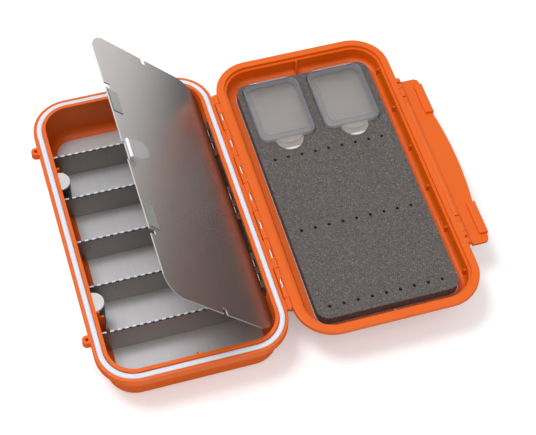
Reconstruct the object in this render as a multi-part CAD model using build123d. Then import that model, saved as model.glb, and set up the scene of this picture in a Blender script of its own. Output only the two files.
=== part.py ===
from build123d import *
import os

# Waterproof two-part fly box, shown open flat: compartment base on the left, foam-lined lid on the right.
# The origin is the centre of the base's flat underside. +X runs across the hinge towards the open lid,
# +Y runs along the hinge to the rear, +Z is up. Millimetres throughout.

# ---- outline shared by the base rim and the lid rim ----
rim_length = 200.0
rim_width = 109.5
rim_corner = 22.5
edge_round = 0.7

# ---- case hinge ----
hinge_gap = 1.8
closing_gap = 0.6
knuckle_half_width = 1.4
knuckle_rise = 1.05
knuckle_round = 0.6
knuckle_pitch = 20.4
end_knuckle_length = 7.0
window_count = 7
window_length = 6.0
window_width = 1.7
window_floor_drop = 0.3
hinge_pin_radius = 0.5
hinge_web_depth = 2.4
hinge_web_rise = 0.2
hinge_web_root = 1.0
hinge_shelf_depth = 3.0

# ---- running clearances ----
bore_clearance = 0.05
side_clearance = 0.3
seat_clearance = 0.3

# ---- base ----
base_depth = 26.8
base_floor = 1.6
base_wall = 1.8
base_foot_radius = 6.0
base_inner_radius = 4.5
base_flange_height = 5.5
land_width = 1.8
gasket_width = 3.4
lip_width = 2.1
lip_rise = 1.4
lip_round = 0.35
gasket_rise = 0.45
gasket_depth = 1.2
gasket_round = 0.9
gasket_side_gap = 0.1

# ---- lanyard eyes on the base's free long side ----
eye_radius = 2.7
eye_hole_radius = 1.0
eye_offset = 1.4
eye_spread = 66.6
eye_drop = 0.4
eye_height = 4.6

# ---- floor plate and compartment dividers ----
plate_thickness = 0.8
plate_margin = 0.7
divider_count = 5
divider_pitch = 31.2
divider_thickness = 1.0
divider_drop = 4.8
divider_end_gap = 0.3
divider_corner = 5.0
tooth_pitch = 4.2
tooth_gap = 2.1
tooth_height = 1.0

# ---- magnet posts and the stepped ribs beside them ----
post_radius = 6.3
post_spread = 43.0
post_centre_inset = 0.0
post_wall_gap = 0.25
post_foot_chamfer = 4.6
magnet_thickness = 1.5
magnet_drop = 2.5
step_rib_spread = 51.0
step_rib_thickness = 1.2
step_rib_reach_high = 2.0
step_rib_drop_high = 0.6
step_rib_reach_middle = 4.3
step_rib_drop_middle = 6.1
step_rib_reach_low = 6.6
step_rib_height_low = 2.6
end_rib_thickness = 1.4
end_rib_reach = 2.6
end_rib_drop = 1.0
end_rib_height = 11.0

# ---- flip page of stainless sheet ----
page_angle = 48.75
page_thickness = 0.7
page_hinge_drop = 1.85
page_hinge_inset = 1.72
page_knuckle_radius = 0.85
page_pin_radius = 0.4
page_knuckle_length = 4.9
page_knuckle_gap = 0.3
page_group_count = 3
page_group_pitch = 48.0
page_knuckles_per_group = 5
page_edge_gap = 2.0
page_end_gap = 1.7
page_corner = 12.5
page_hinge_corner = 16.0
page_edge_setback = 0.4
page_pin_gap = 0.2
leaf_thickness = 0.5
leaf_height = 7.0
leaf_overhang = 1.5
rib_notch_width = 3.2
rib_notch_depth = 4.0
catch_width = 7.3
catch_length = 15.6
catch_thickness = 0.4
catch_edge_gap = 1.0
catch_spread = 40.0
tab_width = 12.5
tab_shift = 3.5
tab_thickness = 0.6
tab_foot = 5.0
tab_rise = 3.1
tab_flap = 13.5
tab_lean = 11.0
tab_recess = 1.6

# ---- lid ----
lid_depth = 12.7
lid_floor = 1.7
lid_flange_height = 3.3
lid_wall = 1.6
lid_foot_radius = 5.0
lid_inner_radius = 3.0
lid_land_width = 4.5
lid_ledge_width = 1.6
lid_ledge_drop = 1.9
wall_rib_count = 6
wall_rib_pitch = 30.7
wall_rib_thickness = 1.2
wall_rib_reach = 1.3
wall_rib_drop = 5.8
end_fin_thickness = 1.4
end_fin_reach = 4.3
end_fin_top_reach = 0.8

# ---- lid lining ----
lid_plate_thickness = 0.5
lid_plate_border = 0.4
foam_side_margin = 6.55
foam_rear_margin = 9.1
foam_front_margin = 6.1
foam_thickness = 6.5
foam_corner = 7.0

# ---- two small boxes set in the foam ----
box_width = 34.6
box_length = 45.2
box_corner = 5.0
box_spread = 20.45
box_shift = -0.6
box_end_margin = 1.3
box_wall = 1.0
box_floor = 1.0
box_pocket_gap = 0.3
cover_thickness = 1.5
cover_gap = 0.3
cover_recess = 0.7
cover_frame = 3.4
box_barrel_radius = 0.75
box_pin_radius = 0.35
box_ear_length = 3.6
box_hinge_inset = 0.75
box_tab_width = 17.0
box_tab_reach = 8.5
box_tab_thickness = 0.9
cover_tab_reach = 4.0

# ---- latch on the lid's free long side ----
latch_length = 125.4
latch_shift = -0.3
latch_pin_out = 0.25
latch_pin_drop = 2.3
latch_barrel_radius = 2.3
latch_pin_radius = 0.8
latch_ear_length = 7.7
latch_ear_hole_radius = 1.1
latch_ear_hole_depth = 1.2
latch_relief = 0.35
latch_plate_length = 124.7
latch_plate_shift = -1.2
latch_plate_thickness = 1.8
latch_face_drop = 0.3
latch_reach = 13.1
latch_bow = 2.4
latch_bow_length = 68.0
latch_corner = 3.0
hook_spread = 45.8
hook_length = 22.0
hook_reach = 13.9
hook_height = 1.7
latch_pocket_spread = 45.8
latch_pocket_length = 5.6
latch_pocket_width = 2.8
latch_pocket_depth = 1.1

# ---- values that follow from the sizes above ----
rim_z = base_depth
half_width = rim_width / 2
half_length = rim_length / 2
rim_band = land_width + gasket_width + lip_width
base_inset = rim_band - base_wall
cavity_half_width = half_width - rim_band
cavity_half_length = half_length - rim_band
cavity_corner = rim_corner - rim_band
floor_top = base_floor + plate_thickness
hinge_x = half_width + hinge_gap
hinge_z = rim_z + closing_gap / 2
hinge_half = window_count * knuckle_pitch / 2 + end_knuckle_length
knuckle_core_width = knuckle_half_width - knuckle_round
knuckle_core_rise = knuckle_rise - knuckle_round
knuckle_reach = (knuckle_core_width**2 + knuckle_core_rise**2) ** 0.5 + knuckle_round

page_x = cavity_half_width - page_hinge_inset
page_z = rim_z - page_hinge_drop
page_width = page_x + cavity_half_width - page_edge_gap
page_half_length = cavity_half_length - page_end_gap
page_group_length = page_knuckles_per_group * page_knuckle_length
page_hinge_half = (page_group_count - 1) * page_group_pitch / 2 + page_group_length / 2

lid_x = hinge_x + hinge_gap + half_width
lid_band = lid_land_width + lid_ledge_width
lid_inset = lid_band - lid_wall
lid_cavity_half_width = half_width - lid_band
lid_cavity_half_length = half_length - lid_band
lid_cavity_corner = rim_corner - lid_band
lid_floor_z = rim_z - lid_depth + lid_floor
lining_z = lid_floor_z + lid_plate_thickness
foam_top = lining_z + foam_thickness
foam_width = 2 * (lid_cavity_half_width - foam_side_margin)
foam_length = 2 * lid_cavity_half_length - foam_rear_margin - foam_front_margin
foam_shift = (foam_front_margin - foam_rear_margin) / 2
box_y = foam_shift + foam_length / 2 - box_end_margin - box_length / 2
box_top = foam_top + box_pocket_gap + box_tab_thickness
cover_bottom = box_top + cover_gap
box_hinge_y = box_y + box_length / 2 - box_hinge_inset
box_hinge_z = cover_bottom + box_barrel_radius
cover_rear = box_hinge_y - box_barrel_radius - side_clearance

latch_x = lid_x + half_width + latch_pin_out
latch_z = rim_z - latch_pin_drop
latch_barrel_length = latch_length - 2 * (latch_ear_length + side_clearance)
hook_start = latch_pin_drop + closing_gap + base_flange_height + seat_clearance


def rounded_block(width, length, corner, bottom, top, x=0.0, y=0.0):
    """Upright block with rounded corners in plan."""
    plan = Pos(x, y, bottom) * RectangleRounded(width, length, corner)
    return extrude(plan, amount=top - bottom)


def block(x_low, x_high, y_low, y_high, z_low, z_high):
    """Plain box between two corners."""
    middle = Pos((x_low + x_high) / 2, (y_low + y_high) / 2, (z_low + z_high) / 2)
    return middle * Box(x_high - x_low, y_high - y_low, z_high - z_low)


def rod_along_y(x, z, radius, y_low, y_high):
    """Cylinder with its axis along Y."""
    return Pos(x, (y_low + y_high) / 2, z) * Rot(90, 0, 0) * Cylinder(radius, y_high - y_low)


def rod_along_x(y, z, radius, x_low, x_high):
    """Cylinder with its axis along X."""
    return Pos((x_low + x_high) / 2, y, z) * Rot(0, 90, 0) * Cylinder(radius, x_high - x_low)


def round_bottom(solid, radius):
    """Round the edges of a solid's lowest face."""
    return fillet(solid.faces().sort_by(Axis.Z)[0].edges(), radius)


def round_top(solid, radius):
    """Round the edges of a solid's highest face."""
    return fillet(solid.faces().sort_by(Axis.Z)[-1].edges(), radius)


def window_centres():
    """Y of each window in the case hinge, one in the top of each long knuckle."""
    return [(k - (window_count - 1) / 2) * knuckle_pitch for k in range(window_count)]


def knuckle_spans():
    """Y spans of the case hinge knuckles from front to rear; the first belongs to the base."""
    joints = [y - knuckle_pitch / 2 for y in window_centres()]
    joints = joints + [window_count * knuckle_pitch / 2]
    edges = [-hinge_half] + joints + [hinge_half]
    spans = []
    for low, high in zip(edges[:-1], edges[1:]):
        spans.append((low + side_clearance / 2, high - side_clearance / 2))
    return spans


def stepped_rib(side):
    """Three-step web that stands against the base's free wall beside a magnet post."""
    wall_x = -cavity_half_width - base_wall / 2
    low_y = side * step_rib_spread - step_rib_thickness / 2
    high_y = side * step_rib_spread + step_rib_thickness / 2
    steps = [
        (step_rib_reach_high, rim_z - step_rib_drop_high),
        (step_rib_reach_middle, rim_z - step_rib_drop_middle),
    ]
    web = block(
        wall_x,
        -cavity_half_width + step_rib_reach_low,
        low_y,
        high_y,
        floor_top + seat_clearance,
        floor_top + seat_clearance + step_rib_height_low,
    )
    for reach, top in steps:
        web = web + block(
            wall_x, -cavity_half_width + reach, low_y, high_y, floor_top + seat_clearance, top
        )
    return web


def end_rib(side):
    """Triangular rib at the middle of one end wall of the base."""
    wall_y = cavity_half_length + base_wall / 2
    top = rim_z - end_rib_drop
    outline = Polyline(
        (0, wall_y, top),
        (0, cavity_half_length - end_rib_reach, top),
        (0, cavity_half_length, top - end_rib_height),
        (0, wall_y, top - end_rib_height),
        close=True,
    )
    web = extrude(make_face(outline), amount=end_rib_thickness / 2, both=True)
    if side > 0:
        return web
    return mirror(web, about=Plane.XZ)


def lanyard_eye(side):
    """Small upright eye on the base's free side, without its hole."""
    x = -half_width - eye_offset
    y = side * eye_spread
    top = rim_z - eye_drop
    boss = Pos(x, y, top - eye_height / 2) * Cylinder(eye_radius, eye_height)
    foot = block(x, -half_width + land_width, y - eye_radius, y + eye_radius, top - eye_height, top)
    return boss + foot


def hinge_knuckle(low, high, sign, edge_x):
    """One moulded knuckle with its web to the rim; sign is +1 when the rim lies towards +X."""
    across = Pos(hinge_x, (low + high) / 2, hinge_z) * Rot(90, 0, 0)
    profile = across * RectangleRounded(2 * knuckle_half_width, 2 * knuckle_rise, knuckle_round)
    barrel = extrude(profile, amount=(high - low) / 2, both=True)
    root = edge_x + sign * hinge_web_root
    web = block(
        min(hinge_x, root),
        max(hinge_x, root),
        low,
        high,
        rim_z - hinge_web_depth,
        rim_z + hinge_web_rise,
    )
    return barrel + (web - hinge_bore())


def hinge_shelf(low, high, sign, edge_x):
    """Trough on a rim that closely follows the underside of a knuckle of the other part."""
    tip = hinge_x + sign * side_clearance
    root = edge_x + sign * hinge_web_root
    shelf = block(
        min(tip, root),
        max(tip, root),
        low - side_clearance,
        high + side_clearance,
        rim_z - hinge_shelf_depth,
        rim_z,
    )
    return shelf - rod_along_y(
        hinge_x, hinge_z, knuckle_reach + side_clearance, -half_length, half_length
    )


def hinge_land(sign, edge_x):
    """Square edge of a rim along the case hinge."""
    root = edge_x + sign * hinge_web_root
    return block(
        min(edge_x, root),
        max(edge_x, root),
        -hinge_half,
        hinge_half,
        rim_z - hinge_web_depth,
        rim_z,
    )


def hinge_bore():
    """Bore for the case hinge pin."""
    radius = hinge_pin_radius + bore_clearance
    return rod_along_y(hinge_x, hinge_z, radius, -half_length, half_length)


def hinge_half_set(first, sign, edge_x):
    """One part's share of the case hinge: every second knuckle, the ledges between, the land."""
    half = hinge_land(sign, edge_x)
    for k, (low, high) in enumerate(knuckle_spans()):
        if k % 2 == first:
            half = half + hinge_knuckle(low, high, sign, edge_x)
        else:
            half = half + hinge_shelf(low, high, sign, edge_x)
    for y in window_centres():
        half = half - block(
            hinge_x - window_width / 2,
            hinge_x + window_width / 2,
            y - window_length / 2,
            y + window_length / 2,
            hinge_z - window_floor_drop,
            hinge_z + 2 * knuckle_rise,
        )
    return half - hinge_bore()


def make_base_shell():
    """Moulded base: deep tub, flanged rim with a gasket groove, hinge knuckles, ribs and lanyard eyes."""
    flange = rounded_block(rim_width, rim_length, rim_corner, rim_z - base_flange_height, rim_z)
    flange = round_top(flange, edge_round)
    flange = round_bottom(flange, edge_round)
    tub = rounded_block(
        rim_width - 2 * base_inset,
        rim_length - 2 * base_inset,
        rim_corner - base_inset,
        0,
        rim_z - edge_round,
    )
    tub = round_bottom(tub, base_foot_radius)
    lip_inset = land_width + gasket_width
    lip = rounded_block(
        rim_width - 2 * lip_inset,
        rim_length - 2 * lip_inset,
        rim_corner - lip_inset,
        rim_z - base_flange_height,
        rim_z + lip_rise,
    )
    lip = round_top(lip, lip_round)
    shell = flange + tub + lip

    cavity = rounded_block(
        2 * cavity_half_width,
        2 * cavity_half_length,
        cavity_corner,
        base_floor,
        rim_z + lip_rise + lip_rise,
    )
    cavity = round_bottom(cavity, base_inner_radius)
    shell = shell - cavity

    groove_outer = rounded_block(
        rim_width - 2 * land_width,
        rim_length - 2 * land_width,
        rim_corner - land_width,
        rim_z - gasket_depth,
        rim_z + lip_rise + lip_rise,
    )
    groove_inner = rounded_block(
        rim_width - 2 * lip_inset,
        rim_length - 2 * lip_inset,
        rim_corner - lip_inset,
        rim_z - gasket_depth,
        rim_z + lip_rise + lip_rise,
    )
    shell = shell - (groove_outer - groove_inner)

    for side in (-1, 1):
        shell = shell + (stepped_rib(side) & tub)
        shell = shell + (end_rib(side) & tub)
        shell = shell + lanyard_eye(side)
        hole = Pos(-half_width - eye_offset, side * eye_spread, rim_z - eye_height / 2)
        shell = shell - hole * Cylinder(eye_hole_radius, 2 * eye_height)

    return shell + hinge_half_set(0, -1, half_width)


def make_rim_gasket():
    """Soft sealing bead that lies in the groove of the base rim and stands a little proud."""
    outer_inset = land_width + gasket_side_gap
    inner_inset = land_width + gasket_width - gasket_side_gap
    bottom = rim_z - gasket_depth
    top = rim_z + gasket_rise
    outer = rounded_block(
        rim_width - 2 * outer_inset,
        rim_length - 2 * outer_inset,
        rim_corner - outer_inset,
        bottom,
        top,
    )
    inner = rounded_block(
        rim_width - 2 * inner_inset,
        rim_length - 2 * inner_inset,
        rim_corner - inner_inset,
        bottom - gasket_depth,
        top + gasket_rise,
    )
    ring = outer - inner
    return round_top(ring, gasket_round)


def make_floor_plate():
    """Thin steel sheet that covers the flat of the base's floor."""
    inset = base_inner_radius + plate_margin
    return rounded_block(
        2 * (cavity_half_width - inset),
        2 * (cavity_half_length - inset),
        cavity_corner - inset,
        base_floor,
        floor_top,
    )


def make_divider(y):
    """Upright strip across the base, with rounded lower corners and a castellated top edge."""
    left = -cavity_half_width + divider_end_gap
    right = page_x - page_knuckle_radius - page_edge_setback
    top = rim_z - divider_drop
    strip = block(
        left, right, y - divider_thickness / 2, y + divider_thickness / 2, floor_top, top
    )
    lower = strip.edges().filter_by(Axis.Y).group_by(Axis.Z)[0]
    strip = fillet(lower, divider_corner)
    teeth = int((right - left - tooth_gap) / tooth_pitch)
    start = (left + right) / 2 - (teeth - 1) * tooth_pitch / 2
    for k in range(teeth):
        x = start + k * tooth_pitch
        gap = block(
            x - tooth_gap / 2,
            x + tooth_gap / 2,
            y - divider_thickness,
            y + divider_thickness,
            top - tooth_height,
            top + tooth_height,
        )
        strip = strip - gap
    return strip


def post_outline(side, bottom, top):
    """Upright round post flattened where it stands against the free wall."""
    x = -cavity_half_width + post_centre_inset
    y = side * post_spread
    post = Pos(x, y, (bottom + top) / 2) * Cylinder(post_radius, top - bottom)
    flat_x = -cavity_half_width + post_wall_gap
    reach = 2 * post_radius
    keep = block(flat_x, flat_x + reach, y - reach, y + reach, bottom, top)
    return post & keep


def make_magnet_post(side):
    """Black post that carries a magnet, its foot cut back over the rounded floor corner."""
    top = rim_z - magnet_drop - magnet_thickness
    post = post_outline(side, floor_top, top)
    y = side * post_spread
    flat_x = -cavity_half_width + post_wall_gap
    reach = 2 * post_radius
    leg = post_foot_chamfer
    corner = Polyline(
        (flat_x - leg, y, floor_top - leg),
        (flat_x + 2 * leg, y, floor_top - leg),
        (flat_x - leg, y, floor_top + 2 * leg),
        close=True,
    )
    wedge = extrude(make_face(corner), amount=reach, both=True)
    return post - wedge


def make_magnet_disc(side):
    """Bright magnet that caps a post."""
    top = rim_z - magnet_drop
    return post_outline(side, top - magnet_thickness, top)


def page_group_centres():
    """Y of each group of page hinge knuckles."""
    return [
        (k - (page_group_count - 1) / 2) * page_group_pitch for k in range(page_group_count)
    ]


def page_knuckle_spans(first):
    """Y spans of every second page hinge knuckle, starting with number first in each group."""
    spans = []
    for centre in page_group_centres():
        start = centre - page_group_length / 2
        for k in range(first, page_knuckles_per_group, 2):
            low = start + k * page_knuckle_length + page_knuckle_gap / 2
            spans.append((low, low + page_knuckle_length - page_knuckle_gap))
    return spans


def make_page_hinge_leaf():
    """Fixed half of the page hinge: a steel leaf on the wall with curled knuckles."""
    half = page_hinge_half + leaf_overhang
    top = page_z + page_knuckle_radius
    leaf = block(
        cavity_half_width - leaf_thickness, cavity_half_width, -half, half, top - leaf_height, top
    )
    for low, high in page_knuckle_spans(0):
        leaf = leaf + rod_along_y(page_x, page_z, page_knuckle_radius, low, high)
        leaf = leaf + block(
            page_x,
            cavity_half_width - leaf_thickness / 2,
            low,
            high,
            page_z,
            page_z + page_knuckle_radius,
        )
    for low, high in page_knuckle_spans(1):
        leaf = leaf - rod_along_y(
            page_x,
            page_z,
            page_knuckle_radius + side_clearance,
            low - page_knuckle_gap,
            high + page_knuckle_gap,
        )
    bore = rod_along_y(page_x, page_z, page_pin_radius + bore_clearance, -half, half)
    return leaf - bore


def make_page_hinge_pin():
    """Thin pin of the page hinge."""
    return rod_along_y(page_x, page_z, page_pin_radius, -page_hinge_half, page_hinge_half)


def raised(shape):
    """Turn a piece of the closed page up to the angle at which it rests."""
    return Pos(page_x, 0, page_z) * Rot(0, page_angle, 0) * Pos(-page_x, 0, -page_z) * shape


def make_page_plate():
    """Flip page: flat sheet with rounded corners, rib notches and curled hinge knuckles."""
    low_x = page_x - page_width
    sheet = block(
        low_x,
        page_x,
        -page_half_length,
        page_half_length,
        page_z - page_thickness / 2,
        page_z + page_thickness / 2,
    )
    sheet = fillet(sheet.edges().filter_by(Axis.Z).group_by(Axis.X)[0], page_corner)
    sheet = fillet(sheet.edges().filter_by(Axis.Z).group_by(Axis.X)[-1], page_hinge_corner)
    setback = page_knuckle_radius + page_edge_setback
    sheet = sheet - block(
        page_x - page_pin_radius - page_pin_gap,
        page_x + page_width,
        -cavity_half_length,
        cavity_half_length,
        page_z - page_thickness,
        page_z + page_thickness,
    )
    for low, high in page_knuckle_spans(0):
        sheet = sheet - block(
            page_x - setback,
            page_x + page_width,
            low - page_knuckle_gap,
            high + page_knuckle_gap,
            page_z - page_thickness,
            page_z + page_thickness,
        )
    for side in (-1, 1):
        y = side * step_rib_spread
        sheet = sheet - block(
            low_x - rib_notch_depth,
            low_x + rib_notch_depth,
            y - rib_notch_width / 2,
            y + rib_notch_width / 2,
            page_z - page_thickness,
            page_z + page_thickness,
        )
        end = side * page_half_length
        sheet = sheet - block(
            -rib_notch_width / 2,
            rib_notch_width / 2,
            end - rib_notch_depth,
            end + rib_notch_depth,
            page_z - page_thickness,
            page_z + page_thickness,
        )
    sheet = sheet - block(
        low_x - tab_recess,
        low_x + tab_recess,
        tab_shift - tab_width / 2,
        tab_shift + tab_width / 2,
        page_z - page_thickness,
        page_z + page_thickness,
    )
    for low, high in page_knuckle_spans(1):
        sheet = sheet + rod_along_y(page_x, page_z, page_knuckle_radius, low, high)
        sheet = sheet + block(
            page_x - setback - page_edge_setback,
            page_x,
            low,
            high,
            page_z - page_thickness / 2,
            page_z + page_thickness / 2,
        )
    bore = rod_along_y(
        page_x, page_z, page_pin_radius + bore_clearance, -page_half_length, page_half_length
    )
    return raised(sheet - bore)


def make_catch_plate(side):
    """Thin steel pad on the page over a magnet post."""
    low_x = page_x - page_width + catch_edge_gap
    y = side * catch_spread
    face = page_z + page_thickness / 2
    pad = block(
        low_x,
        low_x + catch_width,
        y - catch_length / 2,
        y + catch_length / 2,
        face,
        face + catch_thickness,
    )
    return raised(pad)


def make_pull_tab():
    """Clear pull tab: a foot on the page's free edge, a short upright and a round-ended flap."""
    edge_x = page_x - page_width
    face = page_z + page_thickness / 2
    low_y = tab_shift - tab_width / 2
    high_y = tab_shift + tab_width / 2
    foot = block(edge_x, edge_x + tab_foot, low_y, high_y, face, face + tab_thickness)
    upright = block(edge_x, edge_x + tab_thickness, low_y, high_y, face, face + tab_rise)
    straight = tab_flap - tab_width / 2
    flap = block(0, straight, low_y, high_y, 0, tab_thickness)
    flap = flap + Pos(straight, tab_shift, tab_thickness / 2) * Cylinder(
        tab_width / 2, tab_thickness
    )
    flap = flap & block(0, tab_flap, low_y, high_y, 0, tab_thickness)
    flap = Pos(edge_x, 0, face + tab_rise - tab_thickness) * Rot(0, -tab_lean, 0) * flap
    flap = flap & block(
        edge_x, edge_x + tab_flap, low_y, high_y, face, face + tab_rise + tab_flap
    )
    return raised(foot + upright + flap)


def wall_ribs():
    """Short upright ribs along both long inner walls of the lid."""
    ribs = []
    for k in range(wall_rib_count):
        y = (k - (wall_rib_count - 1) / 2) * wall_rib_pitch
        for side in (-1, 1):
            wall = lid_cavity_half_width
            inner = lid_x + side * (wall - wall_rib_reach)
            outer = lid_x + side * (wall + lid_wall / 2)
            ribs.append(
                block(
                    min(inner, outer),
                    max(inner, outer),
                    y - wall_rib_thickness / 2,
                    y + wall_rib_thickness / 2,
                    lid_floor_z - lid_floor / 2,
                    rim_z - wall_rib_drop,
                )
            )
    return ribs


def end_fin(side):
    """Tapered fin at the middle of one end wall of the lid."""
    wall_y = lid_cavity_half_length
    bottom = lid_floor_z - lid_floor / 2
    top = rim_z - lid_ledge_drop
    outline = Polyline(
        (lid_x, wall_y + lid_wall / 2, bottom),
        (lid_x, wall_y - end_fin_reach, bottom),
        (lid_x, wall_y - end_fin_top_reach, top),
        (lid_x, wall_y + lid_wall / 2, top),
        close=True,
    )
    fin = extrude(make_face(outline), amount=end_fin_thickness / 2, both=True)
    if side > 0:
        return fin
    return mirror(fin, about=Plane.XZ)


def latch_ear_spans():
    """Y spans of the two lid ears that hold the latch pin."""
    low = latch_shift - latch_length / 2
    high = latch_shift + latch_length / 2
    return [(low, low + latch_ear_length), (high - latch_ear_length, high)]


def make_lid_shell():
    """Moulded lid: shallow tray with a stepped rim, hinge knuckles and ears for the latch."""
    flange = rounded_block(
        rim_width, rim_length, rim_corner, rim_z - lid_flange_height, rim_z, x=lid_x
    )
    flange = round_top(flange, edge_round)
    flange = round_bottom(flange, edge_round)
    tub = rounded_block(
        rim_width - 2 * lid_inset,
        rim_length - 2 * lid_inset,
        rim_corner - lid_inset,
        rim_z - lid_depth,
        rim_z - edge_round,
        x=lid_x,
    )
    tub = round_bottom(tub, lid_foot_radius)
    shell = flange + tub
    rebate = rounded_block(
        rim_width - 2 * lid_land_width,
        rim_length - 2 * lid_land_width,
        rim_corner - lid_land_width,
        rim_z - lid_ledge_drop,
        rim_z + lid_ledge_drop,
        x=lid_x,
    )
    cavity = rounded_block(
        2 * lid_cavity_half_width,
        2 * lid_cavity_half_length,
        lid_cavity_corner,
        lid_floor_z,
        rim_z + lid_ledge_drop,
        x=lid_x,
    )
    cavity = round_bottom(cavity, lid_inner_radius)
    shell = shell - rebate - cavity
    for rib in wall_ribs():
        shell = shell + (rib & tub)
    for side in (-1, 1):
        shell = shell + (end_fin(side) & tub)

    relief_half = latch_barrel_length / 2 + side_clearance
    shell = shell - rod_along_y(
        latch_x,
        latch_z,
        latch_barrel_radius + latch_relief,
        latch_shift - relief_half,
        latch_shift + relief_half,
    )
    for low, high in latch_ear_spans():
        shell = shell + rod_along_y(latch_x, latch_z, latch_barrel_radius, low, high)
        shell = shell + block(
            lid_x + half_width - lid_land_width / 2,
            latch_x,
            low,
            high,
            latch_z - latch_barrel_radius / 2,
            rim_z,
        )
        shell = shell - rod_along_y(
            latch_x,
            latch_z,
            latch_pin_radius + bore_clearance,
            low - side_clearance,
            high + side_clearance,
        )

        hole = Pos(latch_x, (low + high) / 2, rim_z)
        shell = shell - hole * Cylinder(latch_ear_hole_radius, 2 * latch_ear_hole_depth)
    return shell + hinge_half_set(1, 1, lid_x - half_width)


def make_lid_plate():
    """Thin steel sheet under the foam, showing as a bright border round it."""
    return rounded_block(
        foam_width + 2 * lid_plate_border,
        foam_length + 2 * lid_plate_border,
        foam_corner + lid_plate_border,
        lid_floor_z,
        lining_z,
        x=lid_x,
        y=foam_shift,
    )


def box_centres():
    """X of the left and the right small box."""
    middle = lid_x + box_shift
    return {"left": middle - box_spread, "right": middle + box_spread}


def make_foam_pad():
    """Foam sheet with two through pockets for the small boxes."""
    pad = rounded_block(
        foam_width, foam_length, foam_corner, lining_z, foam_top, x=lid_x, y=foam_shift
    )
    for x in box_centres().values():
        pad = pad - rounded_block(
            box_width + 2 * box_pocket_gap,
            box_length + 2 * box_pocket_gap,
            box_corner + box_pocket_gap,
            lining_z - foam_thickness,
            foam_top + foam_thickness,
            x=x,
            y=box_y,
        )
    return pad


def thumb_tab(x, reach, bottom, top):
    """Bowed tab on a small box's front edge."""
    front = box_y - box_length / 2
    half = box_tab_width / 2
    outline = Polyline((x - half, front + box_wall), (x - half, front)) + ThreePointArc(
        (x - half, front), (x, front - reach), (x + half, front)
    )
    outline = outline + Polyline(
        (x + half, front), (x + half, front + box_wall), (x - half, front + box_wall)
    )
    return extrude(Pos(0, 0, bottom) * make_face(outline), amount=top - bottom)


def make_box_tray(x):
    """Clear tray of a small box, with a thumb tab and two hinge ears."""
    tray = rounded_block(
        box_width, box_length, box_corner, lining_z, box_top, x=x, y=box_y
    )
    hollow = rounded_block(
        box_width - 2 * box_wall,
        box_length - 2 * box_wall,
        box_corner - box_wall,
        lining_z + box_floor,
        box_top + box_floor,
        x=x,
        y=box_y,
    )
    tray = tray - hollow
    tray = tray + thumb_tab(x, box_tab_reach, box_top - box_tab_thickness, box_top)
    ear_half = box_width / 2 - box_corner
    for side in (-1, 1):
        outer = x + side * ear_half
        inner = outer - side * box_ear_length
        low = min(outer, inner)
        high = max(outer, inner)
        tray = tray + rod_along_x(box_hinge_y, box_hinge_z, box_barrel_radius, low, high)
        tray = tray + block(
            low,
            high,
            box_hinge_y - box_barrel_radius / 2,
            box_hinge_y + box_barrel_radius,
            box_top - box_wall,
            box_hinge_z,
        )
    bore_radius = box_pin_radius + bore_clearance
    return tray - rod_along_x(box_hinge_y, box_hinge_z, bore_radius, x - box_width, x + box_width)


def make_box_cover(x):
    """Clear hinged cover of a small box, raised round its edge."""
    front = box_y - box_length / 2
    top = cover_bottom + cover_thickness
    length = cover_rear - front
    middle = (cover_rear + front) / 2
    cover = rounded_block(
        box_width, length, box_corner, cover_bottom, top, x=x, y=middle
    )
    cover = round_top(cover, cover_recess)
    cover = cover - rounded_block(
        box_width - 2 * cover_frame,
        length - 2 * cover_frame,
        box_corner - box_wall,
        top - cover_recess,
        top + cover_recess,
        x=x,
        y=middle,
    )
    cover = cover + thumb_tab(x, cover_tab_reach, cover_bottom, top - cover_recess)
    barrel_half = box_width / 2 - box_corner - box_ear_length - side_clearance
    cover = cover + rod_along_x(
        box_hinge_y, box_hinge_z, box_barrel_radius, x - barrel_half, x + barrel_half
    )
    cover = cover + block(
        x - barrel_half,
        x + barrel_half,
        cover_rear - box_wall,
        box_hinge_y,
        cover_bottom,
        box_hinge_z,
    )
    bore_radius = box_pin_radius + bore_clearance
    return cover - rod_along_x(box_hinge_y, box_hinge_z, bore_radius, x - box_width, x + box_width)


def make_box_pin(x):
    """Hinge pin of a small box."""
    half = box_width / 2 - box_corner
    return rod_along_x(box_hinge_y, box_hinge_z, box_pin_radius, x - half, x + half)


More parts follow.
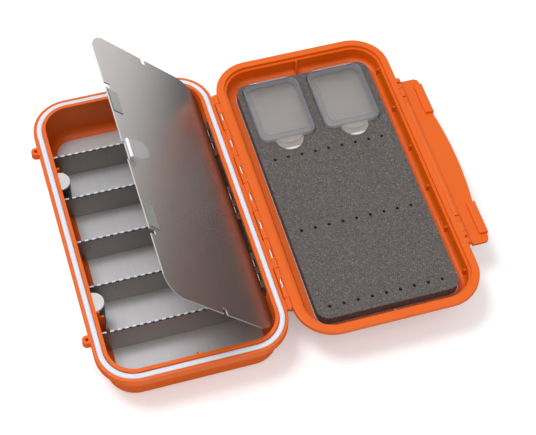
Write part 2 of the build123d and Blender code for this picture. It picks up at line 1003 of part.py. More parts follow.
def make_latch_plate():
    """Long latch: barrel, flat plate with a bowed free edge, and two hook ribs."""
    barrel_half = latch_barrel_length / 2
    barrel = rod_along_y(
        latch_x,
        latch_z,
        latch_barrel_radius,
        latch_shift - barrel_half,
        latch_shift + barrel_half,
    )
    plate_half = latch_plate_length / 2
    plate_y = latch_shift + latch_plate_shift
    ear_gap = latch_barrel_radius + side_clearance
    top = latch_z - latch_face_drop
    bottom = top - latch_plate_thickness
    plate = block(
        latch_x,
        latch_x + latch_reach,
        plate_y - plate_half,
        plate_y + plate_half,
        bottom,
        top,
    )
    corners = plate.edges().filter_by(Axis.Z).group_by(Axis.X)[-1]
    plate = fillet(corners, latch_corner)
    inner = latch_barrel_length / 2
    for side in (-1, 1):
        near = latch_shift + side * inner
        far = latch_shift + side * latch_length
        plate = plate - block(
            latch_x - ear_gap,
            latch_x + ear_gap,
            min(near, far),
            max(near, far),
            bottom - latch_plate_thickness,
            top + latch_plate_thickness,
        )
    edge = latch_x + latch_reach
    bow_half = latch_bow_length / 2
    outline = Line((edge - latch_bow, plate_y - bow_half), (edge, plate_y - bow_half))
    outline = outline + ThreePointArc(
        (edge, plate_y - bow_half),
        (edge + latch_bow, plate_y),
        (edge, plate_y + bow_half),
    )
    outline = outline + Line((edge, plate_y + bow_half), (edge - latch_bow, plate_y + bow_half))
    outline = outline + Line(
        (edge - latch_bow, plate_y + bow_half), (edge - latch_bow, plate_y - bow_half)
    )
    bow = extrude(Pos(0, 0, bottom) * make_face(outline), amount=latch_plate_thickness)
    latch = barrel + plate + bow
    for side in (-1, 1):
        y = plate_y + side * hook_spread
        hook = block(
            latch_x + hook_start,
            latch_x + hook_reach,
            y - hook_length / 2,
            y + hook_length / 2,
            bottom,
            top + hook_height,
        )
        latch = latch + fillet(hook.edges().filter_by(Axis.Y).group_by(Axis.Z)[-1], edge_round)
        pocket_y = latch_shift + side * latch_pocket_spread
        latch = latch - block(
            latch_x - latch_pocket_width / 2,
            latch_x + latch_pocket_width / 2,
            pocket_y - latch_pocket_length / 2,
            pocket_y + latch_pocket_length / 2,
            latch_z + latch_barrel_radius - latch_pocket_depth,
            latch_z + 2 * latch_barrel_radius,
        )
    bore = rod_along_y(
        latch_x,
        latch_z,
        latch_pin_radius + bore_clearance,
        latch_shift - latch_length,
        latch_shift + latch_length,
    )
    return latch - bore


def make_latch_pin():
    """Steel pin of the latch."""
    half = latch_length / 2
    return rod_along_y(latch_x, latch_z, latch_pin_radius, latch_shift - half, latch_shift + half)


def make_case_hinge_pin():
    """Long pin through the knuckles of base and lid."""
    return rod_along_y(hinge_x, hinge_z, hinge_pin_radius, -hinge_half, hinge_half)


def build():
    """Every piece of the box by node name."""
    pieces = {
        "base_shell": make_base_shell(),
        "rim_gasket": make_rim_gasket(),
        "floor_plate": make_floor_plate(),
        "magnet_post_rear": make_magnet_post(1),
        "magnet_post_front": make_magnet_post(-1),
        "magnet_disc_rear": make_magnet_disc(1),
        "magnet_disc_front": make_magnet_disc(-1),
        "page_hinge_leaf": make_page_hinge_leaf(),
        "page_hinge_pin": make_page_hinge_pin(),
        "case_hinge_pin": make_case_hinge_pin(),
        "page_plate": make_page_plate(),
        "catch_plate_rear": make_catch_plate(1),
        "catch_plate_front": make_catch_plate(-1),
        "pull_tab": make_pull_tab(),
        "lid_shell": make_lid_shell(),
        "lid_plate": make_lid_plate(),
        "foam_pad": make_foam_pad(),
        "latch_plate": make_latch_plate(),
        "latch_pin": make_latch_pin(),
    }
    for k in range(divider_count):
        y = (k - (divider_count - 1) / 2) * divider_pitch
        pieces[f"divider_{k + 1}"] = make_divider(y)
    for name, x in box_centres().items():
        pieces[f"box_tray_{name}"] = make_box_tray(x)
        pieces[f"box_cover_{name}"] = make_box_cover(x)
        pieces[f"box_pin_{name}"] = make_box_pin(x)
    return pieces


os.makedirs("parts", exist_ok=True)
for node, shape in build().items():
    export_step(shape, f"parts/{node}.step")
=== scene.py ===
import bpy
import math
from mathutils import Matrix, Vector


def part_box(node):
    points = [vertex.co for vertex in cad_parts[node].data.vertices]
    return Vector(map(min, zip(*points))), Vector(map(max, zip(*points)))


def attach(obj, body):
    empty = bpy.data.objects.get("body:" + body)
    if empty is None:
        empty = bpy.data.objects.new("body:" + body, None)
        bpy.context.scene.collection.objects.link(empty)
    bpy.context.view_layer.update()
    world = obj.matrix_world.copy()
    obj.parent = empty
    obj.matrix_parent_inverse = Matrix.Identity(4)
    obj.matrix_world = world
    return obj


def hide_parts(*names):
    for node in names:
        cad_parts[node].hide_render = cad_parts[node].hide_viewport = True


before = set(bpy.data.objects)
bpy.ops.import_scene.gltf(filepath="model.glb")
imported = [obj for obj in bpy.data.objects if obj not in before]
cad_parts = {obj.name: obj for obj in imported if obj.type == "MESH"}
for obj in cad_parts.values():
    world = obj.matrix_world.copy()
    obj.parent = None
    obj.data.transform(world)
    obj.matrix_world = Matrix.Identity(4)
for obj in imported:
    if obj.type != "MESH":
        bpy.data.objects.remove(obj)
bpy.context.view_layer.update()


# ---- Base tub ----
# Injection-moulded ABS in a strong orange: a deep tub with a flanged rim, hinge knuckles, ribs and two
# lanyard eyes, all one moulding. The tool was fine-textured, so the skin is satin with soft highlights.


def linear(code, alpha=1.0):
    """An sRGB hex colour as linear light."""
    parts = [int(code[i:i + 2], 16) / 255 for i in (1, 3, 5)]
    return [p / 12.92 if p <= 0.04045 else ((p + 0.055) / 1.055) ** 2.4 for p in parts] + [alpha]


def blank(name):
    """A new material whose node tree is empty, and that tree."""
    material = bpy.data.materials.new(name)
    material.use_nodes = True
    material.node_tree.nodes.clear()
    return material, material.node_tree


def add(tree, kind, settings=None, links=None):
    """Adds a node, with its properties and socket values, and the sockets that feed it.

    A socket goes by its name, or by its number where a node has more than one of that name.
    """
    node = tree.nodes.new(kind)
    for name, value in (settings or {}).items():
        if isinstance(name, str) and hasattr(node, name):
            setattr(node, name, value)
        else:
            node.inputs[name].default_value = value
    for socket, source in (links or {}).items():
        tree.links.new(source, node.inputs[socket])
    return node


def dress(node, material):
    """Gives a CAD piece one material in place of those it has."""
    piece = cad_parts[node]
    piece.data.materials.clear()
    piece.data.materials.append(material)
    for slot in piece.material_slots:
        slot.link = "OBJECT"
        slot.material = material


def moulded_abs(name, light, dark, rough):
    """Satin injection-moulded ABS: faint flow marks in the colour and a fine eggshell texture."""
    material, tree = blank(name)
    place = add(tree, "ShaderNodeTexCoord")
    # flow marks some 20 mm across
    flow = add(
        tree,
        "ShaderNodeTexNoise",
        {"Scale": 50.0, "Detail": 2.0},
        {"Vector": place.outputs["Object"]},
    )
    tone = add(tree, "ShaderNodeValToRGB", {}, {"Fac": flow.outputs["Fac"]})
    tone.color_ramp.elements[0].position = 0.3
    tone.color_ramp.elements[0].color = linear(dark)
    tone.color_ramp.elements[1].position = 0.7
    tone.color_ramp.elements[1].color = linear(light)
    # the eggshell grain is 0.15 mm on the real skin, and 0.6 mm here so that it shows
    grain = add(
        tree,
        "ShaderNodeTexNoise",
        {"Scale": 1700.0, "Detail": 2.0},
        {"Vector": place.outputs["Object"]},
    )
    relief = add(
        tree,
        "ShaderNodeBump",
        {"Strength": 0.12, "Distance": 0.0001},
        {"Height": grain.outputs["Fac"]},
    )
    gloss = add(
        tree,
        "ShaderNodeMapRange",
        {"To Min": rough - 0.02, "To Max": rough + 0.03},
        {"Value": flow.outputs["Fac"]},
    )
    skin = add(
        tree,
        "ShaderNodeBsdfPrincipled",
        {"IOR": 1.54, "Specular IOR Level": 0.36},
        {
            "Base Color": tone.outputs["Color"],
            "Roughness": gloss.outputs["Result"],
            "Normal": relief.outputs["Normal"],
        },
    )
    add(tree, "ShaderNodeOutputMaterial", {}, {"Surface": skin.outputs["BSDF"]})
    return material


orange_abs = moulded_abs("abs_satin_orange", "#E36204", "#E05F04", 0.42)
dress("base_shell", orange_abs)

# ---- Rim seal ----
# A soft moulded silicone bead pushed into the groove of the rim. It is matt and off-white with a cool
# cast, slightly clouded, and its skin is finely specked.

silicone, tree = blank("silicone_moulded_white")
place = add(tree, "ShaderNodeTexCoord")
# clouding some 6 mm across
cloud = add(
    tree,
    "ShaderNodeTexNoise",
    {"Scale": 160.0, "Detail": 4.0},
    {"Vector": place.outputs["Object"]},
)
tone = add(tree, "ShaderNodeValToRGB", {}, {"Fac": cloud.outputs["Fac"]})
tone.color_ramp.elements[0].position = 0.25
tone.color_ramp.elements[0].color = linear("#D9DEE9")
tone.color_ramp.elements[1].position = 0.6
tone.color_ramp.elements[1].color = linear("#DEE3ED")
# moulding skin with specks 0.7 mm apart
speck = add(
    tree,
    "ShaderNodeTexNoise",
    {"Scale": 1400.0, "Detail": 3.0},
    {"Vector": place.outputs["Object"]},
)
relief = add(
    tree,
    "ShaderNodeBump",
    {"Strength": 0.1, "Distance": 0.0001},
    {"Height": speck.outputs["Fac"]},
)
skin = add(
    tree,
    "ShaderNodeBsdfPrincipled",
    {"Roughness": 0.55, "IOR": 1.41},
    {"Base Color": tone.outputs["Color"], "Normal": relief.outputs["Normal"]},
)
add(tree, "ShaderNodeOutputMaterial", {}, {"Surface": skin.outputs["BSDF"]})
dress("rim_gasket", silicone)

# ---- Floor plate of the base and plate under the foam ----
# Thin stainless sheet with a bright rolled finish, laid in the tub and in the lid. Rolling leaves fine
# streaks along the length of the box, and handling leaves a faint haze.


def rolled_steel(name, light, dark, rough, streak_mm, length_mm, haziness=0.13):
    """Steel whose streaks run along Y, of a width and length in mm; haziness spreads its roughness."""
    material, tree = blank(name)
    place = add(tree, "ShaderNodeTexCoord")
    along = add(
        tree,
        "ShaderNodeMapping",
        {"Scale": (1000 / streak_mm, 1000 / length_mm, 1000 / streak_mm)},
        {"Vector": place.outputs["Object"]},
    )
    streak = add(
        tree,
        "ShaderNodeTexNoise",
        {"Scale": 1.0, "Detail": 3.0},
        {"Vector": along.outputs["Vector"]},
    )
    tone = add(tree, "ShaderNodeValToRGB", {}, {"Fac": streak.outputs["Fac"]})
    tone.color_ramp.elements[0].position = 0.3
    tone.color_ramp.elements[0].color = linear(dark)
    tone.color_ramp.elements[1].position = 0.7
    tone.color_ramp.elements[1].color = linear(light)
    # handling haze, some 25 mm across
    haze = add(
        tree,
        "ShaderNodeTexNoise",
        {"Scale": 40.0, "Detail": 3.0},
        {"Vector": place.outputs["Object"]},
    )
    gloss = add(
        tree,
        "ShaderNodeMapRange",
        {"To Min": rough - 0.4 * haziness, "To Max": rough + 0.6 * haziness},
        {"Value": haze.outputs["Fac"]},
    )
    relief = add(
        tree,
        "ShaderNodeBump",
        {"Strength": 0.05, "Distance": 0.00005},
        {"Height": streak.outputs["Fac"]},
    )
    sheet = add(
        tree,
        "ShaderNodeBsdfPrincipled",
        {"Metallic": 1.0},
        {
            "Base Color": tone.outputs["Color"],
            "Roughness": gloss.outputs["Result"],
            "Normal": relief.outputs["Normal"],
        },
    )
    add(tree, "ShaderNodeOutputMaterial", {}, {"Surface": sheet.outputs["BSDF"]})
    return material


bright_sheet = rolled_steel("stainless_rolled_bright", "#B9B8BA", "#B5B4B6", 0.5, 1.0, 30.0)
dress("floor_plate", bright_sheet)
dress("lid_plate", bright_sheet)

# ---- Compartment dividers ----
# Stamped stainless strips stood on edge across the base. Their faces are dull from tumbling, the tops
# of the teeth along the upper edge carry a pale painted highlight, and the gaps between the teeth carry
# painted shade.

divider_count = 5
tooth_height = 0.001
level_margin = 0.0001
strip_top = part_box("divider_3")[1].z
dull_sheet = rolled_steel("stainless_tumbled_dull", "#9A9591", "#8E8984", 0.42, 0.9, 3.0)
for number in range(1, divider_count + 1):
    dress(f"divider_{number}", dull_sheet)

tree = dull_sheet.node_tree
sheet = next(n for n in tree.nodes if n.type == "BSDF_PRINCIPLED")
tone = sheet.inputs["Base Color"].links[0].from_socket
place = add(tree, "ShaderNodeTexCoord")
split = add(tree, "ShaderNodeSeparateXYZ", {}, {"Vector": place.outputs["Object"]})
top = add(
    tree,
    "ShaderNodeMath",
    {"operation": "GREATER_THAN", 1: strip_top - level_margin},
    {0: split.outputs["Z"]},
)
gap = add(
    tree,
    "ShaderNodeMath",
    {"operation": "COMPARE", 1: strip_top - tooth_height, 2: level_margin},
    {0: split.outputs["Z"]},
)
shadowed = add(
    tree,
    "ShaderNodeMix",
    {"data_type": "RGBA", 7: linear("#3A3634")},
    {0: gap.outputs[0], 6: tone},
)
# painted highlight on the top faces of the teeth
painted_top_highlight = add(
    tree,
    "ShaderNodeMix",
    {"data_type": "RGBA", 7: linear("#D3D9E6")},
    {0: top.outputs[0], 6: shadowed.outputs[2]},
)
# painted highlight: the tops of the teeth are painted pale and made almost non-metallic so that they
# read bright
metal = add(tree, "ShaderNodeMapRange", {"To Min": 1.0, "To Max": 0.1}, {"Value": top.outputs[0]})
tree.links.new(painted_top_highlight.outputs[2], sheet.inputs["Base Color"])
tree.links.new(metal.outputs["Result"], sheet.inputs["Metallic"])

# ---- Magnet posts ----
# Black moulded ABS posts glued to the wall, each capped with a nickel-plated disc magnet that holds the
# flip page down. The plating is almost a mirror.

black_abs = moulded_abs("abs_satin_black", "#1D1A1A", "#151313", 0.36)
dress("magnet_post_rear", black_abs)
dress("magnet_post_front", black_abs)
nickel, tree = blank("nickel_plated_bright")
place = add(tree, "ShaderNodeTexCoord")
# light scuffs, 3 mm across
scuff = add(
    tree,
    "ShaderNodeTexNoise",
    {"Scale": 330.0, "Detail": 4.0},
    {"Vector": place.outputs["Object"]},
)
gloss = add(
    tree,
    "ShaderNodeMapRange",
    {"To Min": 0.14, "To Max": 0.3},
    {"Value": scuff.outputs["Fac"]},
)
plating = add(
    tree,
    "ShaderNodeBsdfPrincipled",
    {"Base Color": linear("#D0CFD0"), "Metallic": 1.0},
    {"Roughness": gloss.outputs["Result"]},
)
add(tree, "ShaderNodeOutputMaterial", {}, {"Surface": plating.outputs["BSDF"]})
dress("magnet_disc_rear", nickel)
dress("magnet_disc_front", nickel)

# ---- Flip page, its hinge and its catch plates ----
# A satin stainless sheet page, smooth enough to mirror the orange walls softly, on a piano hinge of
# duller stainless whose dark reddish brown colour is painted shade and a painted reflection of the
# orange walls.
# Two thin zinc-plated steel pads stick to it where the magnets reach.

page_sheet = rolled_steel("stainless_satin_page", "#989492", "#959290", 0.25, 2.0, 60.0, 0.03)
dress("page_plate", page_sheet)
# painted shade and painted reflection: the leaf and its pin are coloured dark reddish brown for the
# shade between page and wall and the orange walls they mirror
leaf_sheet = rolled_steel("stainless_leaf_painted_shade", "#54453F", "#4A3B36", 0.5, 0.6, 20.0)
dress("page_hinge_leaf", leaf_sheet)
dress("page_hinge_pin", leaf_sheet)
pad_sheet = rolled_steel("steel_zinc_plated_pad", "#9EA19C", "#8F928D", 0.42, 0.8, 0.9)
dress("catch_plate_rear", pad_sheet)
dress("catch_plate_front", pad_sheet)

# ---- Pull tab ----
# A strip of clear polypropylene film folded up from the page's free edge for a thumb. Film this thin
# is glassy on its faces, and a white, nearly opaque painted highlight runs along the fold, which is its
# highest line.

fold_inset = 0.0023
fold_band = 0.001
film_low, film_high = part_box("pull_tab")
film, tree = blank("polypropylene_film_clear")
place = add(tree, "ShaderNodeTexCoord")
# faint ripple of the moulding, 6 mm across
ripple = add(
    tree,
    "ShaderNodeTexNoise",
    {"Scale": 170.0, "Detail": 2.0},
    {"Vector": place.outputs["Object"]},
)
relief = add(
    tree,
    "ShaderNodeBump",
    {"Strength": 0.1, "Distance": 0.0002},
    {"Height": ripple.outputs["Fac"]},
)
gloss = add(
    tree,
    "ShaderNodeMapRange",
    {"To Min": 0.12, "To Max": 0.2},
    {"Value": ripple.outputs["Fac"]},
)
# the fold runs along Y, so distance from it is taken in the XZ plane
flat = add(
    tree,
    "ShaderNodeVectorMath",
    {"operation": "MULTIPLY", 1: (1.0, 0.0, 1.0)},
    {0: place.outputs["Object"]},
)
away = add(
    tree,
    "ShaderNodeVectorMath",
    {"operation": "DISTANCE", 1: (film_low.x + fold_inset, 0.0, film_high.z)},
    {0: flat.outputs["Vector"]},
)
# painted highlight: a white, nearly opaque band along the fold
fold_highlight_mask = add(
    tree,
    "ShaderNodeMath",
    {"operation": "LESS_THAN", 1: fold_band},
    {0: away.outputs["Value"]},
)
dense = add(tree, "ShaderNodeMapRange", {"To Min": 0.16, "To Max": 0.95}, {"Value": fold_highlight_mask.outputs[0]})
fold_highlight_tint = add(
    tree,
    "ShaderNodeMix",
    {"data_type": "RGBA", 6: linear("#C9CDCF"), 7: linear("#F4F8FC")},
    {0: fold_highlight_mask.outputs[0]},
)
skin = add(
    tree,
    "ShaderNodeBsdfPrincipled",
    {"IOR": 1.49},
    {
        "Base Color": fold_highlight_tint.outputs[2],
        "Roughness": gloss.outputs["Result"],
        "Alpha": dense.outputs["Result"],
        "Normal": relief.outputs["Normal"],
    },
)
add(tree, "ShaderNodeOutputMaterial", {}, {"Surface": skin.outputs["BSDF"]})
dress("pull_tab", film)

# ---- Lid and case hinge pin ----
# The second orange ABS moulding: a shallow tray whose stepped rim closes on the seal, with ribs along
# both long walls and two ears for the latch. Its knuckles turn on a bright pin of drawn steel wire.

dress("lid_shell", orange_abs)
wire = rolled_steel("steel_drawn_wire", "#F1F0F0", "#DEDDDD", 0.5, 0.3, 6.0)
dress("case_hinge_pin", wire)

# ---- Foam lining ----
# Closed-cell polyethylene foam, die-cut to a rounded sheet with two pockets for the small boxes and
# three rows of pricked holes for fly hooks. Its cut skin is matt and speckled with open cells.

sheet_corner = 0.007
pocket_corner = 0.0053
pocket_width = 0.0352
pocket_length = 0.0458
pocket_slack = 0.0003
hole_radius = 0.00105
hole_depth = 0.004
hole_pitch = 0.008375
first_hole_x = 0.07915
hole_rows_y = (0.0255, -0.0272, -0.0802)
holes_per_row = 9
edge_round = 0.0005
foam_low, foam_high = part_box("foam_pad")
foam_middle = (foam_low + foam_high) / 2
foam_size = foam_high - foam_low


def rounded_block(name, size, middle, corner, segments):
    """A block that lies where it is wanted, with its four upright edges rounded."""
    bpy.ops.object.select_all(action="DESELECT")
    bpy.ops.mesh.primitive_cube_add(size=1.0, location=(0, 0, 0))
    block = bpy.context.object
    block.name = name
    bpy.ops.object.mode_set(mode="EDIT")
    bpy.ops.transform.resize(value=size)
    bpy.ops.transform.translate(value=middle)
    bpy.ops.mesh.select_mode(type="EDGE")
    bpy.ops.mesh.select_all(action="DESELECT")
    bpy.ops.object.mode_set(mode="OBJECT")
    for edge in block.data.edges:
        a, b = (block.data.vertices[i].co for i in edge.vertices)
        edge.select = abs(a.z - b.z) > 0.9 * (a - b).length
    bpy.ops.object.mode_set(mode="EDIT")
    bpy.ops.mesh.bevel(offset=corner, segments=segments, affect="EDGES")
    bpy.ops.object.mode_set(mode="OBJECT")
    return block


def cut_away(piece, tool):
    """Cuts the tool's shape out of the piece and removes the tool."""
    cut = piece.modifiers.new("cut", "BOOLEAN")
    cut.object = tool
    cut.operation = "DIFFERENCE"
    cut.solver = "EXACT"
    bpy.ops.object.select_all(action="DESELECT")
    bpy.context.view_layer.objects.active = piece
    piece.select_set(True)
    bpy.ops.object.modifier_apply(modifier="cut")
    bpy.data.objects.remove(tool)


foam = rounded_block("foam_lining", foam_size, foam_middle, sheet_corner, 10)
for side in ("left", "right"):
    tray_low, tray_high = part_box(f"box_tray_{side}")
    pocket_rear = tray_high.y + pocket_slack
    pocket_size = (pocket_width, pocket_length, 4 * foam_size.z)
    pocket_middle = ((tray_low.x + tray_high.x) / 2, pocket_rear - pocket_length / 2, foam_middle.z)
    cut_away(foam, rounded_block("pocket", pocket_size, pocket_middle, pocket_corner, 8))

for row_y in hole_rows_y:
    for number in range(holes_per_row):
        bpy.ops.object.select_all(action="DESELECT")
        bpy.ops.mesh.primitive_cylinder_add(
            vertices=12,
            radius=hole_radius,
            depth=2 * hole_depth,
            location=(first_hole_x + number * hole_pitch, row_y, foam_high.z),
        )
        cut_away(foam, bpy.context.object)

soften = foam.modifiers.new("soften", "BEVEL")
soften.width = edge_round
soften.segments = 2
soften.limit_method = "ANGLE"
bpy.ops.object.select_all(action="DESELECT")
bpy.context.view_layer.objects.active = foam
foam.select_set(True)
bpy.ops.object.modifier_apply(modifier="soften")
bpy.ops.object.shade_smooth_by_angle(angle=math.radians(35))
even = foam.modifiers.new("even", "WEIGHTED_NORMAL")
even.keep_sharp = True
bpy.ops.object.modifier_apply(modifier="even")

foam_skin, tree = blank("polyethylene_foam_cut")
place = add(tree, "ShaderNodeTexCoord")
# open cells, 0.6 mm across so that they show
cells = add(tree, "ShaderNodeTexVoronoi", {"Scale": 1700.0}, {"Vector": place.outputs["Object"]})
# denser and lighter patches 1.2 mm across
patch = add(
    tree,
    "ShaderNodeTexNoise",
    {"Scale": 850.0, "Detail": 4.0},
    {"Vector": place.outputs["Object"]},
)
mottle = add(
    tree,
    "ShaderNodeMix",
    {"data_type": "FLOAT", "Factor": 0.5},
    {2: patch.outputs["Fac"], 3: cells.outputs["Distance"]},
)
tone = add(tree, "ShaderNodeValToRGB", {}, {"Fac": mottle.outputs["Result"]})
tone.color_ramp.elements[0].position = 0.25
tone.color_ramp.elements[0].color = linear("#3F3C3A")
tone.color_ramp.elements[1].position = 0.65
tone.color_ramp.elements[1].color = linear("#6B6663")
# cut cells up to 0.8 mm across that catch the light, some 2 mm apart
glint = add(tree, "ShaderNodeTexVoronoi", {"Scale": 500.0}, {"Vector": place.outputs["Object"]})
near_cell = add(
    tree,
    "ShaderNodeMath",
    {"operation": "LESS_THAN", 1: 0.2},
    {0: glint.outputs["Distance"]},
)
shine = add(tree, "ShaderNodeMath", {"operation": "MULTIPLY", 1: 0.55}, {0: near_cell.outputs[0]})
flecked = add(
    tree,
    "ShaderNodeMix",
    {"data_type": "RGBA", 7: linear("#8F8A86")},
    {0: shine.outputs[0], 6: tone.outputs["Color"]},
)
relief = add(
    tree,
    "ShaderNodeBump",
    {"Strength": 0.5, "Distance": 0.0003},
    {"Height": mottle.outputs["Result"]},
)
skin = add(
    tree,
    "ShaderNodeBsdfPrincipled",
    {"Roughness": 0.92, "IOR": 1.3},
    {"Base Color": flecked.outputs[2], "Normal": relief.outputs["Normal"]},
)
add(tree, "ShaderNodeOutputMaterial", {}, {"Surface": skin.outputs["BSDF"]})
foam.data.materials.clear()
foam.data.materials.append(foam_skin)
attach(foam, "lid")
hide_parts("foam_pad")

# ---- Small boxes ----
# Two little moulded boxes of clear polystyrene in the foam's pockets, each with a cover on a wire pin.
# The walls and the cover's raised frame are thicker than floor and panel, so they look denser and
# cooler, and the tip of the tray's tab catches the light.

box_length = 0.0452
crescent_width = 0.0014
floor_level = 0.0011
frame_rise = 0.0006


def clear_moulding(name, level, tab_edge, tip):
    """Clear polystyrene, thicker above a level, pale in the tab before an edge and bright at its tip."""
    material, tree = blank(name)
    place = add(tree, "ShaderNodeTexCoord")
    split = add(tree, "ShaderNodeSeparateXYZ", {}, {"Vector": place.outputs["Object"]})
    thick = add(
        tree,
        "ShaderNodeMath",
        {"operation": "GREATER_THAN", 1: level},
        {0: split.outputs["Z"]},
    )
    tab = add(
        tree,
        "ShaderNodeMath",
        {"operation": "LESS_THAN", 1: tab_edge},
        {0: split.outputs["Y"]},
    )
    crescent = add(
        tree,
        "ShaderNodeMath",
        {"operation": "LESS_THAN", 1: tip + crescent_width},
        {0: split.outputs["Y"]},
    )
    # faint ripple of the moulding, 6 mm across
    ripple = add(
        tree,
        "ShaderNodeTexNoise",
        {"Scale": 170.0, "Detail": 2.0},
        {"Vector": place.outputs["Object"]},
    )
    relief = add(
        tree,
        "ShaderNodeBump",
        {"Strength": 0.1, "Distance": 0.0002},
        {"Height": ripple.outputs["Fac"]},
    )
    gloss = add(
        tree,
        "ShaderNodeMapRange",
        {"To Min": 0.1, "To Max": 0.16},
        {"Value": ripple.outputs["Fac"]},
    )
    tint = add(
        tree,
        "ShaderNodeMix",
        {"data_type": "RGBA", 6: linear("#B3ABA5"), 7: linear("#8A8C95")},
        {0: thick.outputs[0]},
    )
    pale = add(
        tree,
        "ShaderNodeMix",
        {"data_type": "RGBA", 7: linear("#C9C2BC")},
        {0: tab.outputs[0], 6: tint.outputs[2]},
    )
    bright = add(
        tree,
        "ShaderNodeMix",
        {"data_type": "RGBA", 7: linear("#F6F4F2")},
        {0: crescent.outputs[0], 6: pale.outputs[2]},
    )
    cover = add(
        tree,
        "ShaderNodeMapRange",
        {"To Min": 0.18, "To Max": 0.34},
        {"Value": thick.outputs[0]},
    )
    denser = add(
        tree,
        "ShaderNodeMath",
        {"operation": "MULTIPLY_ADD", 1: 0.3},
        {0: crescent.outputs[0], 2: cover.outputs["Result"]},
    )
    skin = add(
        tree,
        "ShaderNodeBsdfPrincipled",
        {"IOR": 1.59},
        {
            "Base Color": bright.outputs[2],
            "Roughness": gloss.outputs["Result"],
            "Alpha": denser.outputs[0],
            "Normal": relief.outputs["Normal"],
        },
    )
    add(tree, "ShaderNodeOutputMaterial", {}, {"Surface": skin.outputs["BSDF"]})
    return material


for side in ("left", "right"):
    tray_low, tray_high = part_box(f"box_tray_{side}")
    walls_from = tray_low.z + floor_level
    frame_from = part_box(f"box_cover_{side}")[1].z - frame_rise
    tab_from = tray_high.y - box_length
    tray_skin = clear_moulding(f"polystyrene_clear_tray_{side}", walls_from, tab_from, tray_low.y)
    cover_skin = clear_moulding(f"polystyrene_clear_cover_{side}", frame_from, tab_from, tray_low.y)
    dress(f"box_tray_{side}", tray_skin)
    dress(f"box_cover_{side}", cover_skin)
    dress(f"box_pin_{side}", wire)

# ---- Latch ----
# A long orange ABS flap on a steel pin along the lid's free side. Its two hook ribs snap under the
# flange of the base.

dress("latch_plate", orange_abs)
dress("latch_pin", wire)

# ---- Studio ----
# A white paper floor that keeps the shadow, and white surroundings. A soft main lamp hangs above the
# rear left, with a weak fill in front and a low one behind.

paper_glow = 0.25
rear_dark_y, rear_white_y = 0.165, 0.33
front_dark_y, front_white_y = -0.1, -0.12
aim = (0.06, 0.0, 0.02)

bpy.ops.object.select_all(action="DESELECT")
bpy.ops.mesh.primitive_plane_add(size=6.0, location=(0, 0, 0))
floor = bpy.context.object
floor.name = "studio_floor"
paper, tree = blank("paper_white")
ray = add(tree, "ShaderNodeLightPath")
matt = add(tree, "ShaderNodeBsdfDiffuse", {"Color": linear("#F2F4F4")})
strength = add(
    tree,
    "ShaderNodeMath",
    {"operation": "MULTIPLY", 1: paper_glow},
    {0: ray.outputs["Is Camera Ray"]},
)
lift = add(tree, "ShaderNodeEmission", {"Color": (1, 1, 1, 1)}, {"Strength": strength.outputs[0]})
lit = add(tree, "ShaderNodeAddShader", {}, {0: matt.outputs[0], 1: lift.outputs[0]})
# painted reflection: glossy rays see the floor as a glow, white in front, dark beside the box, and
# brightening again towards the rear
place = add(tree, "ShaderNodeTexCoord")
split = add(tree, "ShaderNodeSeparateXYZ", {}, {"Vector": place.outputs["Object"]})
rear = add(
    tree,
    "ShaderNodeMapRange",
    {"From Min": rear_dark_y, "From Max": rear_white_y, "To Min": 0.07, "To Max": 1.9},
    {"Value": split.outputs["Y"]},
)
front = add(
    tree,
    "ShaderNodeMapRange",
    {"From Min": front_dark_y, "From Max": front_white_y, "To Min": 0.0, "To Max": 1.0},
    {"Value": split.outputs["Y"]},
)
brighter = add(
    tree,
    "ShaderNodeMath",
    {"operation": "MAXIMUM"},
    {0: rear.outputs["Result"], 1: front.outputs["Result"]},
)
painted_reflection_glow = add(tree, "ShaderNodeEmission", {"Color": (1, 1, 1, 1)}, {"Strength": brighter.outputs[0]})
seen_floor = add(
    tree,
    "ShaderNodeMixShader",
    {},
    {0: ray.outputs["Is Glossy Ray"], 1: lit.outputs[0], 2: painted_reflection_glow.outputs[0]},
)
add(tree, "ShaderNodeOutputMaterial", {}, {"Surface": seen_floor.outputs[0]})
floor.data.materials.append(paper)

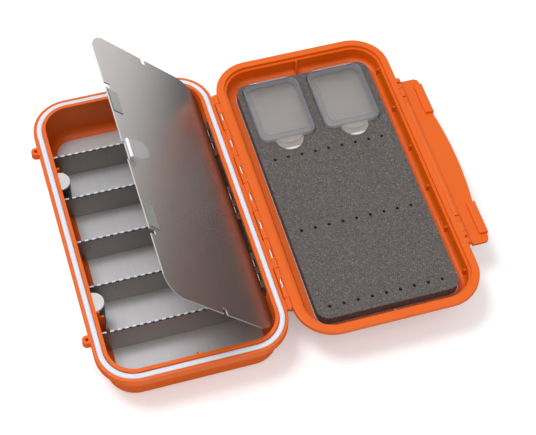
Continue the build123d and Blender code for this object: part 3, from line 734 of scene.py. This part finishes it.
world = bpy.data.worlds.new("white_room")
bpy.context.scene.world = world
world.use_nodes = True
tree = world.node_tree
tree.nodes.clear()
ray = add(tree, "ShaderNodeLightPath")
seen = add(
    tree,
    "ShaderNodeMath",
    {"operation": "MAXIMUM"},
    {0: ray.outputs["Is Camera Ray"], 1: ray.outputs["Is Glossy Ray"]},
)
through = add(
    tree,
    "ShaderNodeMath",
    {"operation": "MAXIMUM"},
    {0: seen.outputs[0], 1: ray.outputs["Is Transmission Ray"]},
)
soft = add(tree, "ShaderNodeBackground", {"Color": (1, 1, 1, 1), "Strength": 0.5})
white = add(tree, "ShaderNodeBackground", {"Color": (1, 1, 1, 1), "Strength": 1.0})
room = add(
    tree,
    "ShaderNodeMixShader",
    {},
    {0: through.outputs[0], 1: soft.outputs[0], 2: white.outputs[0]},
)
add(tree, "ShaderNodeOutputWorld", {}, {"Surface": room.outputs[0]})


def lamp(name, place, width, power):
    """A square soft lamp that points at the middle of the box."""
    data = bpy.data.lights.new(name, "AREA")
    data.shape = "SQUARE"
    data.size = width
    data.energy = power
    piece = bpy.data.objects.new(name, data)
    bpy.context.collection.objects.link(piece)
    piece.location = place
    piece.rotation_euler = (Vector(aim) - Vector(place)).to_track_quat("-Z", "Y").to_euler()


lamp("key_lamp", (-0.42, 0.26, 1.5), 0.6, 12.0)
lamp("fill_lamp", (0.15, -0.95, 1.15), 1.1, 5.0)
lamp("rim_lamp", (-0.9, 0.9, 0.5), 0.8, 3.0)

# ---- Camera ----
# It looks down at the open box from the front left, a little rolled, through a long lens. The focal
# length is in pixels of a render 536 pixels wide, and is turned into mm on the sensor.

target = Vector((0.062254, -0.015908, 0.0268))
azimuth = math.radians(-18.863)
elevation = math.radians(55.314)
roll = math.radians(2.675)
distance = 0.928905
render_width = 536.0
focal_pixels = 1613.459
sensor_mm = 36.0
back = Vector((
    math.cos(elevation) * math.sin(azimuth),
    -math.cos(elevation) * math.cos(azimuth),
    math.sin(elevation),
))
level = Vector((math.cos(azimuth), math.sin(azimuth), 0.0))
upright = back.cross(level)
right = math.cos(roll) * level + math.sin(roll) * upright
up = math.cos(roll) * upright - math.sin(roll) * level
lens = bpy.data.cameras.new("camera")
lens.sensor_width = sensor_mm
lens.lens = focal_pixels * sensor_mm / render_width
camera = bpy.data.objects.new("camera", lens)
bpy.context.collection.objects.link(camera)
turn = Matrix((right, up, back)).transposed().to_4x4()
camera.matrix_world = Matrix.Translation(target + back * distance) @ turn
bpy.context.scene.camera = camera
bpy.context.scene.view_settings.view_transform = "Standard"
